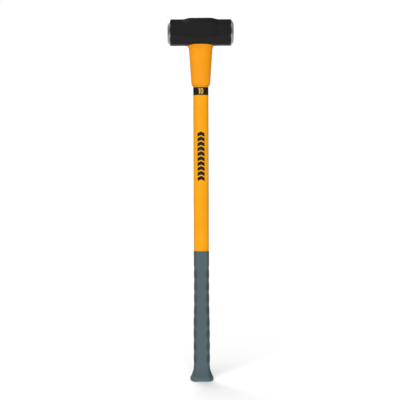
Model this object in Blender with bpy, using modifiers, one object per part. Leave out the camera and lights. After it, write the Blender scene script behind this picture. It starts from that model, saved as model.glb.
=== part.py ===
"""Sledgehammer with a bonded fibreglass handle, modelled as the pieces it is assembled from.

The origin is the centre of the butt's flat end. +Z runs up the handle to the head, and X runs
along the head, from one striking face to the other. Lengths are in metres.
"""

import math

import bmesh
import bpy

MM = 0.001

# Whole tool
OVERALL_LENGTH = 914.4 * MM
GAP = 0.3 * MM  # left between pieces that touch
OUTLINE_POINTS = 40  # round an oval section

# Head: an octagonal bar whose middle swells round the eye, its ends turned to a bevel
HEAD_LENGTH = 167.0 * MM
HEAD_ACROSS = 63.5 * MM  # across the flats
HEAD_CHAMFER = 18.3 * MM  # taken off each corner of the square bar, along its side
MIDDLE_CHAMFER = 14.5 * MM  # the same beside the eye, where the bar is fuller
HEAD_EDGE_EASE = 3.0 * MM  # the long edges are rounded over this far
FACE_RADIUS = 24.0 * MM  # flat part of a striking face
BEVEL_SLOPE = 1.29  # the bevel widens by this for each unit along the head
TURNED_RADIUS = 45.0 * MM  # past the bar's corners, so only the ends are turned
TURNED_STEPS = 96
CROWN_RISE = 2.6 * MM  # the top swells over the eye
CROWN_FLAT_HALF = 25.0 * MM
CROWN_HALF = 47.0 * MM
CHEEK_SWELL = 2.5 * MM  # the sides swell beside the eye
EYE_BOTTOM_HALF = (19.0 * MM, 14.7 * MM)
EYE_WAIST_HALF = (18.3 * MM, 14.0 * MM)
EYE_TOP_HALF = (19.8 * MM, 15.4 * MM)
EYE_POWER = 2.3

# Handle: rod, jacket, and the two pieces moulded over the jacket
CORE_HALF = (15.2 * MM, 11.4 * MM)
CORE_BOTTOM = 10.0 * MM
CORE_TOP_DROP = 2.5 * MM  # the rod ends this far below the crown
SHAFT_HALF = (19.05 * MM, 15.0 * MM)
SHAFT_POWER = 2.5  # 2 is an ellipse, higher is squarer
GUARD_NECK = 1.1 * MM  # the jacket is this much thinner under the guard
GRIP_NECK = 2.0 * MM  # and this much thinner under the grip
NECK_EASE = 1.0 * MM  # height of the sloped step between two thicknesses

# Resin and seal in the eye
SEAL_HEIGHT = 6.0 * MM
SEAL_INSET = 1.0 * MM  # above the mouth of the eye
RESIN_TOP_DROP = 0.8 * MM  # below the crown

# Overstrike guard
GUARD_BOTTOM = 743.6 * MM
GUARD_BEVEL_TOP = 751.5 * MM
GUARD_RIM_HEIGHT = 11.5 * MM  # from where the wall starts to turn out, up to the guard's top
GUARD_RIM_ROUND = 1.2 * MM  # the rim's outer edge is rounded by this
GUARD_RIM_CURVE = 1.4  # 1 turns out in a straight line, higher is more like a horn
GUARD_EDGE_HALF = (20.0 * MM, 15.9 * MM)
GUARD_LOW_HALF = (23.6 * MM, 17.6 * MM)
GUARD_HIGH_HALF = (29.5 * MM, 19.0 * MM)
GUARD_RIM_HALF = (32.9 * MM, 22.0 * MM)
GUARD_LOW_POWER = 2.6
GUARD_RIM_POWER = 2.2

# Weight band
BAND_BOTTOM = 720.4 * MM
BAND_HEIGHT = 20.0 * MM
BAND_THICKNESS = 0.35 * MM

# Grip
GRIP_TOP = 326.1 * MM
GRIP_TOP_HALF = (19.45 * MM, 15.6 * MM)
GRIP_HALF = (20.75 * MM, 16.8 * MM)
GRIP_TAPER_BOTTOM = 130.0 * MM  # the sleeve thins from here
GRIP_TAPER_TOP = 205.0 * MM  # to here, and is even above
SCALLOP_PITCH = 30.24 * MM
SCALLOP_FIRST = 41.4 * MM  # height of the lowest notch
SCALLOP_COUNT = 9
SCALLOP_DEPTH = 0.9 * MM
GRIP_SOFT_POWER = 2.4  # section half-way between two notches
GRIP_HARD_POWER = 4.2  # section at a notch, where the flat front runs out to the edge
SECTIONS_PER_SCALLOP = 4

# Butt: a horn-shaped flare over an upright rim
FLARE_TOP = 30.0 * MM
FLARE_BOTTOM = 12.0 * MM
FLARE_HALF = (26.8 * MM, 22.6 * MM)
FLARE_STEPS = 5
FLARE_CURVE = 1.25  # 1 is a straight cone, higher is more like a horn
RIM_TOP = 8.5 * MM
RIM_ROUND = 1.6 * MM  # the lower edge is rounded by this
RIM_HALF = (29.4 * MM, 25.0 * MM)
BUTT_POWER = 2.6
BUTT_FLOOR = 9.4 * MM  # thickness of rubber under the rod

CROWN_TOP = OVERALL_LENGTH
HEAD_TOP = CROWN_TOP - CROWN_RISE
HEAD_AXIS = HEAD_TOP - HEAD_ACROSS / 2
HEAD_UNDERSIDE = HEAD_TOP - HEAD_ACROSS
COLLECTION = "sledgehammer"


def smooth_step(value):
    """0 below 0, 1 above 1, and an even S between."""
    value = min(max(value, 0.0), 1.0)
    return value * value * (3 - 2 * value)


def blend(low, high, share):
    """The pair of half sizes that is share of the way from low to high."""
    return tuple(a + (b - a) * share for a, b in zip(low, high))


def grown(half, amount):
    """Half sizes made larger by amount, or smaller by a negative one."""
    return tuple(size + amount for size in half)


def oval(half, power, z):
    """A ring of points at height z on a rounded oval."""
    ring = []
    for index in range(OUTLINE_POINTS):
        angle = math.tau * index / OUTLINE_POINTS
        across = math.copysign(abs(math.cos(angle)) ** (2 / power), math.cos(angle))
        deep = math.copysign(abs(math.sin(angle)) ** (2 / power), math.sin(angle))
        ring.append((half[0] * across, half[1] * deep, z))
    return ring


def octagon(x, half_depth, top, bottom, chamfer, ease, steps=3):
    """A ring of points at x on an octagonal bar section, its eight corners eased."""
    sides = ((1, top, -1), (1, bottom, 1), (-1, bottom, 1), (-1, top, -1))
    corners = []
    for side, level, inward in sides:
        pair = [
            (side * (half_depth - chamfer), level),
            (side * half_depth, level + inward * chamfer),
        ]
        corners.extend(pair if side * inward < 0 else reversed(pair))
    ring = []
    for index, corner in enumerate(corners):
        before = towards(corner, corners[index - 1], ease)
        after = towards(corner, corners[(index + 1) % len(corners)], ease)
        for step in range(steps + 1):
            share = step / steps
            y, z = quadratic(before, corner, after, share)
            ring.append((x, y, z))
    return ring


def towards(start, end, distance):
    """The point at a distance from start on the line to end."""
    share = distance / math.dist(start, end)
    return blend(start, end, share)


def quadratic(start, control, end, share):
    """A point on the parabola that leaves start and reaches end along lines to control."""
    return blend(blend(start, control, share), blend(control, end, share), share)


def make_collection(name):
    collection = bpy.data.collections.new(name)
    bpy.context.scene.collection.children.link(collection)
    return collection


def add_object(name, bm, collection):
    """Put the finished bmesh in a new object."""
    bmesh.ops.recalc_face_normals(bm, faces=bm.faces)
    mesh = bpy.data.meshes.new(name)
    bm.to_mesh(mesh)
    bm.free()
    obj = bpy.data.objects.new(name, mesh)
    collection.objects.link(obj)
    return obj


def loft(name, rings, collection):
    """A solid skinned over rings with equal numbers of points, its two ends closed."""
    bm = bmesh.new()
    loops = [[bm.verts.new(point) for point in ring] for ring in rings]
    for low, high in zip(loops, loops[1:]):
        for index in range(len(low)):
            bm.faces.new((low[index - 1], low[index], high[index], high[index - 1]))
    bm.faces.new(loops[0])
    bm.faces.new(loops[-1])
    return add_object(name, bm, collection)


def prism(name, ring, height, collection):
    """A solid of one section, pulled up from its lowest ring."""
    bm = bmesh.new()
    face = bm.faces.new([bm.verts.new(point) for point in ring])
    pulled = bmesh.ops.extrude_face_region(bm, geom=[face])
    verts = [item for item in pulled["geom"] if isinstance(item, bmesh.types.BMVert)]
    bmesh.ops.translate(bm, vec=(0, 0, height), verts=verts)
    return add_object(name, bm, collection)


def hide_cutter(cutter):
    cutter.hide_render = True
    cutter.display_type = "WIRE"
    return cutter


def cut(obj, cutter, operation="DIFFERENCE"):
    """Take the cutter's shape out of the object, or keep only what is inside it."""
    modifier = obj.modifiers.new("cut_" + cutter.name, "BOOLEAN")
    modifier.operation = operation
    modifier.solver = "EXACT"
    modifier.object = hide_cutter(cutter)


def finish_material(obj, material, sharp_angle=40):
    """Give the object its material and smooth shading between its real edges."""
    obj.data.materials.append(material)
    obj.data.shade_smooth()
    obj.data.set_sharp_from_angle(angle=math.radians(sharp_angle))


def make_material(name, colour, roughness, metallic=0.0):
    material = bpy.data.materials.new(name)
    material.use_nodes = True
    shader = material.node_tree.nodes["Principled BSDF"]
    shader.inputs["Base Color"].default_value = (*colour, 1.0)
    shader.inputs["Roughness"].default_value = roughness
    shader.inputs["Metallic"].default_value = metallic
    return material


def head_ring(x):
    """The head's section at x: an octagon that swells upwards and sideways round the eye."""
    swell = smooth_step((CROWN_HALF - abs(x)) / (CROWN_HALF - CROWN_FLAT_HALF))
    return octagon(
        x,
        half_depth=HEAD_ACROSS / 2 + CHEEK_SWELL * swell,
        top=HEAD_TOP + CROWN_RISE * swell,
        bottom=HEAD_UNDERSIDE,
        chamfer=HEAD_CHAMFER + (MIDDLE_CHAMFER - HEAD_CHAMFER) * swell,
        ease=HEAD_EDGE_EASE,
    )


def head_stations():
    """Places along the head where its section is laid down, from -X to +X."""
    ramp_steps = 6
    ramp = CROWN_HALF - CROWN_FLAT_HALF
    half = [CROWN_FLAT_HALF + ramp * step / ramp_steps for step in range(ramp_steps + 1)]
    half.append(HEAD_LENGTH / 2)
    return [-x for x in reversed(half)] + half


def turned_blank(cutters):
    """The shape the lathe leaves: a wide drum whose ends are coned down to the faces."""
    end = HEAD_LENGTH / 2
    shoulder = end - (TURNED_RADIUS - FACE_RADIUS) / BEVEL_SLOPE
    profile = [(end, 0), (end, FACE_RADIUS), (shoulder, TURNED_RADIUS)]
    profile += [(-x, radius) for x, radius in reversed(profile)]
    bm = bmesh.new()
    verts = [bm.verts.new((x, 0, radius)) for x, radius in profile]
    for start, stop in zip(verts, verts[1:]):
        bm.edges.new((start, stop))
    mesh = bpy.data.meshes.new("turned_blank")
    bm.to_mesh(mesh)
    bm.free()
    blank = bpy.data.objects.new("turned_blank", mesh)
    cutters.objects.link(blank)
    blank.location.z = HEAD_AXIS
    turn = blank.modifiers.new("turn", "SCREW")
    turn.axis = "X"
    turn.steps = TURNED_STEPS
    turn.render_steps = TURNED_STEPS
    turn.use_merge_vertices = True
    turn.merge_threshold = 0.01 * MM
    return blank


def eye_half(z):
    """Half sizes of the eye at height z: narrow at the waist, wider at both mouths."""
    waist = HEAD_AXIS
    if z < waist:
        return blend(EYE_WAIST_HALF, EYE_BOTTOM_HALF, (waist - z) / (waist - HEAD_UNDERSIDE))
    return blend(EYE_WAIST_HALF, EYE_TOP_HALF, (z - waist) / (CROWN_TOP - waist))


def make_hammer_head(parts, cutters, material):
    head = loft("hammer_head", [head_ring(x) for x in head_stations()], parts)
    cut(head, turned_blank(cutters), "INTERSECT")
    reach = 2 * MM  # the cutter stands out of both mouths
    levels = (HEAD_UNDERSIDE - reach, HEAD_AXIS, CROWN_TOP + reach)
    rings = [oval(eye_half(z), EYE_POWER, z) for z in levels]
    cut(head, loft("eye_cutter", rings, cutters))
    finish_material(head, material)


def make_core_rod(parts, material):
    top = CROWN_TOP - CORE_TOP_DROP
    ring = oval(CORE_HALF, SHAFT_POWER, CORE_BOTTOM)
    finish_material(prism("core_rod", ring, top - CORE_BOTTOM, parts), material)


def core_cutter(name, bottom, top, cutters):
    """A rod-shaped hole with the bonding gap round it."""
    ring = oval(grown(CORE_HALF, GAP), SHAFT_POWER, bottom)
    return prism(name, ring, top - bottom, cutters)


def make_shaft_jacket(parts, cutters, material):
    """The jacket, full size between guard and grip, with a necked seat at each end."""
    guard_seat = grown(SHAFT_HALF, -GUARD_NECK)
    grip_seat = grown(SHAFT_HALF, -GRIP_NECK)
    bottom, top = CORE_BOTTOM, HEAD_UNDERSIDE - GAP
    grip_shoulder = GRIP_TOP + GAP
    guard_shoulder = GUARD_BOTTOM - GAP
    levels = (
        (bottom, grip_seat),
        (grip_shoulder, grip_seat),
        (grip_shoulder, SHAFT_HALF),
        (guard_shoulder - NECK_EASE, SHAFT_HALF),
        (guard_shoulder, guard_seat),
        (top, guard_seat),
    )
    rings = [oval(half, SHAFT_POWER, z) for z, half in levels]
    jacket = loft("shaft_jacket", rings, parts)
    cut(jacket, core_cutter("jacket_bore_cutter", bottom - MM, top + MM, cutters))
    finish_material(jacket, material)


def make_eye_seal_ring(parts, cutters, material):
    bottom = HEAD_UNDERSIDE + SEAL_INSET
    top = bottom + SEAL_HEIGHT
    rings = [oval(grown(eye_half(z), -GAP), EYE_POWER, z) for z in (bottom, top)]
    ring = loft("eye_seal_ring", rings, parts)
    cut(ring, core_cutter("seal_bore_cutter", bottom - MM, top + MM, cutters))
    finish_material(ring, material)


def make_eye_resin(parts, cutters, material):
    """The resin wedge: it fills the eye's double taper, so the head can't pull off."""
    bottom = HEAD_UNDERSIDE + SEAL_INSET + SEAL_HEIGHT + GAP
    top = CROWN_TOP - RESIN_TOP_DROP
    levels = (bottom, HEAD_AXIS, top)
    rings = [oval(grown(eye_half(z), -GAP), EYE_POWER, z) for z in levels]
    resin = loft("eye_resin", rings, parts)
    cut(resin, core_cutter("resin_bore_cutter", bottom - MM, top + MM, cutters))
    finish_material(resin, material)


def guard_rings():
    """The guard from its bevelled lower edge up to a rim that turns out under the head."""
    top = HEAD_UNDERSIDE - GAP
    rim_bottom = top - GUARD_RIM_HEIGHT
    rings = [oval(GUARD_EDGE_HALF, GUARD_LOW_POWER, GUARD_BOTTOM)]
    body_steps = 6
    for step in range(body_steps + 1):
        share = step / body_steps
        z = GUARD_BEVEL_TOP + (rim_bottom - GUARD_BEVEL_TOP) * share
        power = GUARD_LOW_POWER + (GUARD_RIM_POWER - GUARD_LOW_POWER) * share
        rings.append(oval(blend(GUARD_LOW_HALF, GUARD_HIGH_HALF, share), power, z))
    rim_side = top - GUARD_RIM_ROUND * 2
    rim_steps = 5
    for step in range(1, rim_steps + 1):
        share = step / rim_steps
        z = rim_bottom + (rim_side - rim_bottom) * share
        half = blend(GUARD_HIGH_HALF, GUARD_RIM_HALF, share**GUARD_RIM_CURVE)
        rings.append(oval(half, GUARD_RIM_POWER, z))
    rings.append(oval(GUARD_RIM_HALF, GUARD_RIM_POWER, top - GUARD_RIM_ROUND))
    rings.append(oval(grown(GUARD_RIM_HALF, -GUARD_RIM_ROUND), GUARD_RIM_POWER, top))
    return rings


def make_overstrike_guard(parts, cutters, material):
    """A tapered collar round the jacket, its flat top butted under the head."""
    guard = loft("overstrike_guard", guard_rings(), parts)
    bore = oval(grown(SHAFT_HALF, GAP - GUARD_NECK), SHAFT_POWER, GUARD_BOTTOM - MM)
    bore_height = HEAD_UNDERSIDE - GUARD_BOTTOM + 2 * MM
    cut(guard, prism("guard_bore_cutter", bore, bore_height, cutters))
    finish_material(guard, material)


def make_weight_band(parts, material):
    """A thin sleeve: an open wall along the jacket, given its thickness outwards."""
    bm = bmesh.new()
    ring = oval(grown(SHAFT_HALF, GAP), SHAFT_POWER, BAND_BOTTOM)
    low = [bm.verts.new(point) for point in ring]
    edges = [bm.edges.new((low[index - 1], low[index])) for index in range(len(low))]
    pulled = bmesh.ops.extrude_edge_only(bm, edges=edges)
    verts = [item for item in pulled["geom"] if isinstance(item, bmesh.types.BMVert)]
    bmesh.ops.translate(bm, vec=(0, 0, BAND_HEIGHT), verts=verts)
    band = add_object("weight_band", bm, parts)
    wall = band.modifiers.new("wall", "SOLIDIFY")
    wall.thickness = BAND_THICKNESS
    wall.offset = 1.0
    finish_material(band, material)


def grip_half(z):
    """Half sizes of the sleeve at height z, before its scallops."""
    share = (z - GRIP_TAPER_BOTTOM) / (GRIP_TAPER_TOP - GRIP_TAPER_BOTTOM)
    return blend(GRIP_HALF, GRIP_TOP_HALF, smooth_step(share))


def notch_share(z):
    """1 at a notch between two scallops, 0 half-way between notches."""
    phase = (z - SCALLOP_FIRST) / SCALLOP_PITCH
    nearest = min(max(round(phase), 0), SCALLOP_COUNT - 1)
    away = min(abs(phase - nearest), 0.5)
    return (1 - 2 * away) ** 2


def grip_rings():
    """The scalloped length: lobes meet at notches, where the section turns squarer."""
    rings = []
    step = SCALLOP_PITCH / SECTIONS_PER_SCALLOP
    count = math.floor((GRIP_TOP - FLARE_TOP) / step)
    levels = [SCALLOP_FIRST + step * (index - 3) for index in range(count + 1)]
    levels = [z for z in levels if FLARE_TOP < z < GRIP_TOP - step / 2] + [GRIP_TOP]
    for z in levels:
        notch = notch_share(z)
        half_x, half_y = grip_half(z)
        power = GRIP_SOFT_POWER + (GRIP_HARD_POWER - GRIP_SOFT_POWER) * notch
        rings.append(oval((half_x - SCALLOP_DEPTH * notch, half_y), power, z))
    return rings


def butt_rings():
    """The butt from its flat end, round the rim and up the flare."""
    rings = [
        oval(grown(RIM_HALF, -RIM_ROUND), BUTT_POWER, 0),
        oval(RIM_HALF, BUTT_POWER, RIM_ROUND),
        oval(RIM_HALF, BUTT_POWER, RIM_TOP),
    ]
    for step in range(FLARE_STEPS + 1):
        share = step / FLARE_STEPS
        z = FLARE_BOTTOM + (FLARE_TOP - FLARE_BOTTOM) * share
        half = blend(grip_half(FLARE_TOP), FLARE_HALF, (1 - share) ** FLARE_CURVE)
        rings.append(oval(half, BUTT_POWER, z))
    return rings


def make_grip_sleeve(parts, cutters, material):
    grip = loft("grip_sleeve", butt_rings() + grip_rings(), parts)
    seat = grown(SHAFT_HALF, GAP - GRIP_NECK)
    bore = oval(seat, SHAFT_POWER, BUTT_FLOOR)
    cut(grip, prism("grip_bore_cutter", bore, GRIP_TOP - BUTT_FLOOR + MM, cutters))
    finish_material(grip, material)


def main():
    for obj in list(bpy.data.objects):
        bpy.data.objects.remove(obj, do_unlink=True)
    parts = make_collection(COLLECTION)
    cutters = make_collection(COLLECTION + "_cutters")

    black_paint = make_material("black_paint", (0.020, 0.020, 0.021), 0.45, metallic=0.2)
    resin = make_material("cast_resin", (0.10, 0.08, 0.05), 0.35)
    seal_rubber = make_material("seal_rubber", (0.02, 0.02, 0.02), 0.8)
    glass_fibre = make_material("glass_fibre", (0.62, 0.60, 0.42), 0.55)
    yellow = make_material("yellow_jacket", (0.95, 0.40, 0.01), 0.4)
    orange = make_material("orange_guard", (0.93, 0.33, 0.012), 0.45)
    black_film = make_material("black_film", (0.010, 0.009, 0.008), 0.3)
    slate = make_material("slate_rubber", (0.095, 0.130, 0.155), 0.7)

    make_hammer_head(parts, cutters, black_paint)
    make_eye_resin(parts, cutters, resin)
    make_eye_seal_ring(parts, cutters, seal_rubber)
    make_core_rod(parts, glass_fibre)
    make_shaft_jacket(parts, cutters, yellow)
    make_overstrike_guard(parts, cutters, orange)
    make_weight_band(parts, black_film)
    make_grip_sleeve(parts, cutters, slate)


main()
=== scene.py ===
"""The looks of a sledgehammer with a bonded fibreglass handle.

Laid out as a Blender add-on and run as a script: each operator makes one piece, or a group of
like pieces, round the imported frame. Lengths are in metres, +Z runs up the handle and X along
the head.
"""

import math

import bmesh
import bpy
import numpy as np
from bpy.props import FloatProperty, FloatVectorProperty, IntProperty, PointerProperty
from mathutils import Matrix, Vector, noise


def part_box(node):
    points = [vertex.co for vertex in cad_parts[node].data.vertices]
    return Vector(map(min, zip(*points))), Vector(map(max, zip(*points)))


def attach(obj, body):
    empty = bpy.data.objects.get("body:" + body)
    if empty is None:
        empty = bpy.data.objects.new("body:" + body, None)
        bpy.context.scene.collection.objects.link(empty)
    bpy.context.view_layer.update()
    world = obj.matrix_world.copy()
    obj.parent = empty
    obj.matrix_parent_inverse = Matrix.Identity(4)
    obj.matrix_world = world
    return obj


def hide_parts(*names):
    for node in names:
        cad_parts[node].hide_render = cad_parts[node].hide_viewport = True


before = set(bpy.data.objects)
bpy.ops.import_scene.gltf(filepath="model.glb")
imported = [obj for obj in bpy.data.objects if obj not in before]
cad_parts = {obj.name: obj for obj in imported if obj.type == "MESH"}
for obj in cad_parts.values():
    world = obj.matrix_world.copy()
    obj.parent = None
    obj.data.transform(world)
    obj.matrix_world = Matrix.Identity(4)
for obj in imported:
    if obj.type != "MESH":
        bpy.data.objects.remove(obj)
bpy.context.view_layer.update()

bl_info = {
    "name": "Sledgehammer",
    "version": (1, 0, 0),
    "blender": (4, 5, 0),
    "location": "3D View > Sidebar > Hammer",
    "description": "Builds a long-handled sledgehammer and its stage",
    "category": "Object",
}

MM = 0.001
BODY = "root"

# Places read from the frame
HEAD_LOW, HEAD_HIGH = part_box("hammer_head")
RESIN_LOW, RESIN_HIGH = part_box("eye_resin")
JACKET_LOW, JACKET_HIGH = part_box("shaft_jacket")
GUARD_LOW, GUARD_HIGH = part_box("overstrike_guard")
BAND_LOW, BAND_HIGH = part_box("weight_band")
GRIP_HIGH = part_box("grip_sleeve")[1]
CORE_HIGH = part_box("core_rod")[1]

# Outline of the oval pieces
OUTLINE_POINTS = 96
SEAM_OFFSETS = (0.0075, 0.018, 0.034)  # extra outline points beside each mould seam, in radians
SEAM_RIDGE = 0.12 * MM
SHAFT_POWER = 2.5  # 2 is an ellipse, higher is squarer
CONTACT = 0.02 * MM  # bonded pieces are shown this far apart

# Light
ROOM_LIGHT = 0.2  # how bright the white room is as a light
ROOM_GLOSS = 0.12  # and in reflections
RING_GLOSS = 0.6  # extra in reflections, for a ring part-way up the walls
RING_BOTTOM = (0.15, 0.4)  # heights over which the ring comes in, 1 is straight up
RING_TOP = (0.65, 0.85)  # and over which it fades

# Head
CROWN_RISE = 2.6 * MM
CROWN_FLAT_HALF = 25.0 * MM
CROWN_HALF = 47.0 * MM
CHEEK_SWELL = 2.5 * MM
HEAD_CHAMFER = 18.3 * MM
MIDDLE_CHAMFER = 14.5 * MM
HEAD_EDGE_EASE = 3.2 * MM
FACE_RADIUS = 24.0 * MM
BEVEL_SLOPE = 1.29
FACE_DROP = 0.5 * MM  # how far the crowned face falls from its middle to its rim
FACE_RIM_EASE = 0.9 * MM
TURNED_EDGE_SHARPNESS = 70  # higher keeps the bevel's edge crisper
FORGE_UNEVEN = 0.25 * MM
HEAD_TOP = HEAD_HIGH.z - CROWN_RISE
HEAD_ACROSS = HEAD_TOP - HEAD_LOW.z
HEAD_AXIS = HEAD_TOP - HEAD_ACROSS / 2
HEAD_END = HEAD_HIGH.x
EYE_BOTTOM_HALF = (19.0 * MM, 14.7 * MM)
EYE_WAIST_HALF = (18.3 * MM, 14.0 * MM)
EYE_TOP_HALF = (19.8 * MM, 15.4 * MM)
EYE_POWER = 2.3
EYE_MOUTH_FLARE = 1.3 * MM

# Handle
CORE_HALF = (CORE_HIGH.x, CORE_HIGH.y)
SHAFT_HALF = (JACKET_HIGH.x, JACKET_HIGH.y)
GUARD_NECK = 1.1 * MM
GRIP_NECK = 2.0 * MM
GUARD_BEVEL = 7.9 * MM  # height of the sloped lower edge
GUARD_RIM_HEIGHT = 11.5 * MM
GUARD_RIM_ROUND = 1.2 * MM
GUARD_RIM_CURVE = 1.4  # 1 turns out in a straight line, higher is more like a horn
GUARD_EDGE_HALF = (20.0 * MM, 15.9 * MM)
GUARD_LOW_HALF = (23.6 * MM, 17.6 * MM)
GUARD_HIGH_HALF = (29.5 * MM, 19.0 * MM)
GUARD_LOW_POWER = 2.6
GUARD_RIM_POWER = 2.2
FACET_TURN = math.radians(24)  # of the grip's facets: 0 faces sideways, 90 degrees the front
BUTT_RIM_TOP = 8.6 * MM

# Print
INK_THICKNESS = 0.05 * MM
CHEVRONS_BOTTOM = 0.5505 * HEAD_HIGH.z


class Signal:
    """What a node puts out. Arithmetic on it adds Math nodes to the same tree."""

    def __init__(self, net, socket):
        self.net = net
        self.socket = socket

    def math(self, operation, *others):
        values = dict(enumerate((self, *others)))
        return self.net.add("ShaderNodeMath", {"operation": operation}, values)

    def __add__(self, other):
        return self.math("ADD", other)

    def __radd__(self, other):
        return self.math("ADD", other)

    def __sub__(self, other):
        return self.math("SUBTRACT", other)

    def __rsub__(self, other):
        return self.net.number(other).math("SUBTRACT", self)

    def __mul__(self, other):
        return self.math("MULTIPLY", other)

    def __rmul__(self, other):
        return self.math("MULTIPLY", other)

    def __truediv__(self, other):
        return self.math("DIVIDE", other)

    def __rtruediv__(self, other):
        return self.net.number(other).math("DIVIDE", self)

    def __pow__(self, other):
        return self.math("POWER", other)

    def __neg__(self):
        return self.math("MULTIPLY", -1.0)

    def __abs__(self):
        return self.math("ABSOLUTE")

    def __lt__(self, other):
        return self.math("LESS_THAN", other)

    def __gt__(self, other):
        return self.math("GREATER_THAN", other)

    def clamp(self):
        return self.math("MINIMUM", 1.0).math("MAXIMUM", 0.0)

    def rise(self, low, high):
        """0 below low, 1 above high, and an even S between."""
        return self.net.add(
            "ShaderNodeMapRange",
            {"interpolation_type": "SMOOTHSTEP"},
            {"Value": self, "From Min": low, "From Max": high},
        )


class Number:
    """A plain number at the left of an operation on a signal."""

    def __init__(self, net, value):
        self.net = net
        self.value = value

    def math(self, operation, other):
        values = {0: self.value, 1: other}
        return self.net.add("ShaderNodeMath", {"operation": operation}, values)


class Net:
    """A node tree in the making."""

    def __init__(self, tree):
        self.tree = tree

    def number(self, value):
        return Number(self, value)

    def add(self, kind, settings=None, values=None, output=0):
        """Adds a node: its settings first, then what its sockets hold or are linked to."""
        node = self.tree.nodes.new(kind)
        for name, setting in (settings or {}).items():
            setattr(node, name, setting)
        for key, value in (values or {}).items():
            self.feed(node.inputs[key], value)
        return Signal(self, node.outputs[output])

    def feed(self, socket, value):
        if isinstance(value, Signal):
            self.tree.links.new(value.socket, socket)
        else:
            socket.default_value = value

    def split(self, vector):
        """The x, y and z of a vector signal."""
        node = self.add("ShaderNodeSeparateXYZ", values={0: vector}).socket.node
        return [Signal(self, socket) for socket in node.outputs]

    def join(self, x, y, z):
        return self.add("ShaderNodeCombineXYZ", values={0: x, 1: y, 2: z})


def opaque(colour, brightness=1.0):
    return (*(channel * brightness for channel in colour), 1.0)


class Finish(Net):
    """A material's tree, with the textures that the finishes share."""

    def __init__(self, name, **constants):
        self.material = bpy.data.materials.new(name)
        self.material.use_nodes = True
        super().__init__(self.material.node_tree)
        self.shader = self.tree.nodes["Principled BSDF"]
        self.place = self.add("ShaderNodeTexCoord", output="Object")
        for socket, value in constants.items():
            self.shader.inputs[socket.replace("_", " ")].default_value = value

    def facing(self):
        """The x, y and z of the direction that the surface faces."""
        return self.split(self.add("ShaderNodeNewGeometry", output="Normal"))

    def grain(self, size, detail=2.0, roughness=0.5, place=None):
        """Noise, from 0 to 1, whose lumps are about size across."""
        values = {
            "Vector": place or self.place,
            "Scale": 1 / size,
            "Detail": detail,
            "Roughness": roughness,
        }
        return self.add("ShaderNodeTexNoise", {}, values, "Fac")

    def cells(self, size, place=None):
        """Distance from the nearest of scattered points about size apart."""
        values = {"Vector": place or self.place, "Scale": 1 / size}
        return self.add("ShaderNodeTexVoronoi", {"feature": "F1"}, values, "Distance")

    def stretched(self, x, y, z):
        """The place with each direction multiplied, so that textures run along the others."""
        return self.add(
            "ShaderNodeVectorMath", {"operation": "MULTIPLY"}, {0: self.place, 1: (x, y, z)}
        )

    def mixed(self, share, first, second):
        """A colour that is share of the way from first to second."""
        node = self.tree.nodes.new("ShaderNodeMix")
        node.data_type = "RGBA"
        sockets = {socket.identifier: socket for socket in node.inputs}
        self.feed(sockets["Factor_Float"], share)
        self.feed(sockets["A_Color"], first)
        self.feed(sockets["B_Color"], second)
        results = {socket.identifier: socket for socket in node.outputs}
        return Signal(self, results["Result_Color"])

    def tones(self, share, colour, low, high):
        """The colour at low brightness where share is 0, and at high where it is 1."""
        return self.mixed(share, opaque(colour, low), opaque(colour, high))

    def raised(self, height, distance, strength=1.0, under=None):
        """A normal that shows height as relief of that many metres, on top of another."""
        values = {"Height": height, "Distance": distance, "Strength": strength}
        if under is not None:
            values["Normal"] = under
        return self.add("ShaderNodeBump", {}, values)

    def wear(self, **signals):
        """Links signals to the shader and gives back the material."""
        for socket, signal in signals.items():
            self.feed(self.shader.inputs[socket.replace("_", " ")], signal)
        return self.material


class Recipe(Net):
    """A Geometry Nodes tree with named inputs, run once to make a plain mesh."""

    def __init__(self, name):
        super().__init__(bpy.data.node_groups.new(name, "GeometryNodeTree"))
        self.tree.interface.new_socket(
            "Geometry", in_out="INPUT", socket_type="NodeSocketGeometry"
        )
        self.tree.interface.new_socket(
            "Geometry", in_out="OUTPUT", socket_type="NodeSocketGeometry"
        )
        self.source = self.tree.nodes.new("NodeGroupInput")
        self.values = {}

    def input(self, name, value):
        """A named input and the value that this run gives it."""
        kinds = {float: "NodeSocketFloat", int: "NodeSocketInt"}
        kind = kinds.get(type(value), "NodeSocketMaterial")
        socket = self.tree.interface.new_socket(name, in_out="INPUT", socket_type=kind)
        self.values[socket.identifier] = value
        return Signal(self, self.source.outputs[name])

    def given(self):
        """The mesh of the object that the recipe runs on."""
        return Signal(self, self.source.outputs["Geometry"])

    def run(self, obj, geometry, material):
        """Ends the tree, runs it on the object and keeps the result as its mesh."""
        whole = self.add("GeometryNodeRealizeInstances", values={0: geometry})
        painted = self.add(
            "GeometryNodeSetMaterial", values={"Geometry": whole, "Material": material}
        )
        end = self.tree.nodes.new("NodeGroupOutput")
        self.feed(end.inputs["Geometry"], painted)
        modifier = obj.modifiers.new(self.tree.name, "NODES")
        modifier.node_group = self.tree
        for identifier, value in self.values.items():
            modifier[identifier] = value
        settle(obj)
        return obj


def settle(obj):
    """Turns an object's evaluated shape into its plain mesh and drops its modifiers."""
    depsgraph = bpy.context.evaluated_depsgraph_get()
    depsgraph.update()
    made = bpy.data.meshes.new_from_object(obj.evaluated_get(depsgraph), depsgraph=depsgraph)
    obj.modifiers.clear()
    plain = obj.data
    obj.data = made
    bpy.data.meshes.remove(plain)
    made.name = obj.name


def smooth_step(value):
    value = min(max(value, 0.0), 1.0)
    return value * value * (3 - 2 * value)


def blend(low, high, share):
    """The tuple or array that is share of the way from low to high."""
    return tuple(a + (b - a) * share for a, b in zip(low, high))


def grown(half, amount):
    return tuple(size + amount for size in half)


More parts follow.
